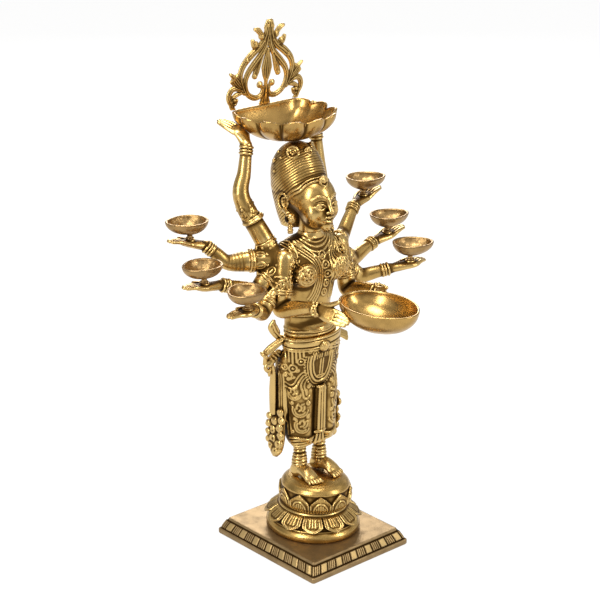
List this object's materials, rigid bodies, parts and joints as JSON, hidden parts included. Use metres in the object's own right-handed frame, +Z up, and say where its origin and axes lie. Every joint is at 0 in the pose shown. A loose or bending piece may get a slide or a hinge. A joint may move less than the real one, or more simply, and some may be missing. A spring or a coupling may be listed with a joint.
{
  "type": "standing oil lamp",
  "caption": "Many-armed brass figure on a lotus pedestal that lifts a crested oil bowl, holds a spouted bowl in front and carries small swivelling wick cups on its side arms.",
  "frame": {"origin": "on the boss face in the middle of the base plate's underside, at the plane that the lamp stands on", "axes": "+Z up, the figure faces -Y, +X to the figure's left"},
  "size_m": [0.3036, 0.2225, 0.5555],
  "materials": {
    "cast_brass": "buffed casting, dark patina left in the recesses",
    "bowl_brass": "polished, faintly hammered inside",
    "screw_brass": "turned, dull",
    "steel": "zinc grey"
  },
  "bodies": {
    "root": {"base_plate": "cast_brass", "lotus_lower_tier": "cast_brass", "lotus_upper_tier": "cast_brass", "tie_stud_right": "steel", "tie_stud_left": "steel", "tie_washer_right": "steel", "tie_washer_left": "steel", "tie_nut_right": "steel", "tie_nut_left": "steel", "figure_lower": "cast_brass", "figure_trunk": "cast_brass", "figure_head": "cast_brass", "arm_front_right": "cast_brass", "arm_front_left": "cast_brass", "arm_raised_right": "cast_brass", "arm_raised_left": "cast_brass", "lamp_arm_right_upper": "cast_brass", "lamp_arm_right_middle": "cast_brass", "lamp_arm_right_lower": "cast_brass", "lamp_arm_left_upper": "cast_brass", "lamp_arm_left_middle": "cast_brass", "lamp_arm_left_lower": "cast_brass", "front_bowl": "bowl_brass", "top_bowl": "bowl_brass", "crest": "cast_brass"},
    "cup_right_upper": {"wick_cup_right_upper": "bowl_brass", "cup_screw_right_upper": "screw_brass"},
    "cup_right_middle": {"wick_cup_right_middle": "bowl_brass", "cup_screw_right_middle": "screw_brass"},
    "cup_right_lower": {"wick_cup_right_lower": "bowl_brass", "cup_screw_right_lower": "screw_brass"},
    "cup_left_upper": {"wick_cup_left_upper": "bowl_brass", "cup_screw_left_upper": "screw_brass"},
    "cup_left_middle": {"wick_cup_left_middle": "bowl_brass", "cup_screw_left_middle": "screw_brass"},
    "cup_left_lower": {"wick_cup_left_lower": "bowl_brass", "cup_screw_left_lower": "screw_brass"}
  },
  "joints": [
    {"name": "swivel_right_upper", "type": "hinge", "parent": "root", "child": "cup_right_upper", "pos_m": [-0.118, 0.048, 0.3527], "axis": [0, 0, 1], "continuous": true},
    {"name": "swivel_right_middle", "type": "hinge", "parent": "root", "child": "cup_right_middle", "pos_m": [-0.125, 0.0175, 0.3164], "axis": [0, 0, 1], "continuous": true},
    {"name": "swivel_right_lower", "type": "hinge", "parent": "root", "child": "cup_right_lower", "pos_m": [-0.111, -0.032, 0.3], "axis": [0, 0, 1], "continuous": true},
    {"name": "swivel_left_upper", "type": "hinge", "parent": "root", "child": "cup_left_upper", "pos_m": [0.118, 0.048, 0.3527], "axis": [0, 0, 1], "continuous": true},
    {"name": "swivel_left_middle", "type": "hinge", "parent": "root", "child": "cup_left_middle", "pos_m": [0.125, 0.0175, 0.3164], "axis": [0, 0, 1], "continuous": true},
    {"name": "swivel_left_lower", "type": "hinge", "parent": "root", "child": "cup_left_lower", "pos_m": [0.111, -0.032, 0.3], "axis": [0, 0, 1], "continuous": true}
  ]
}
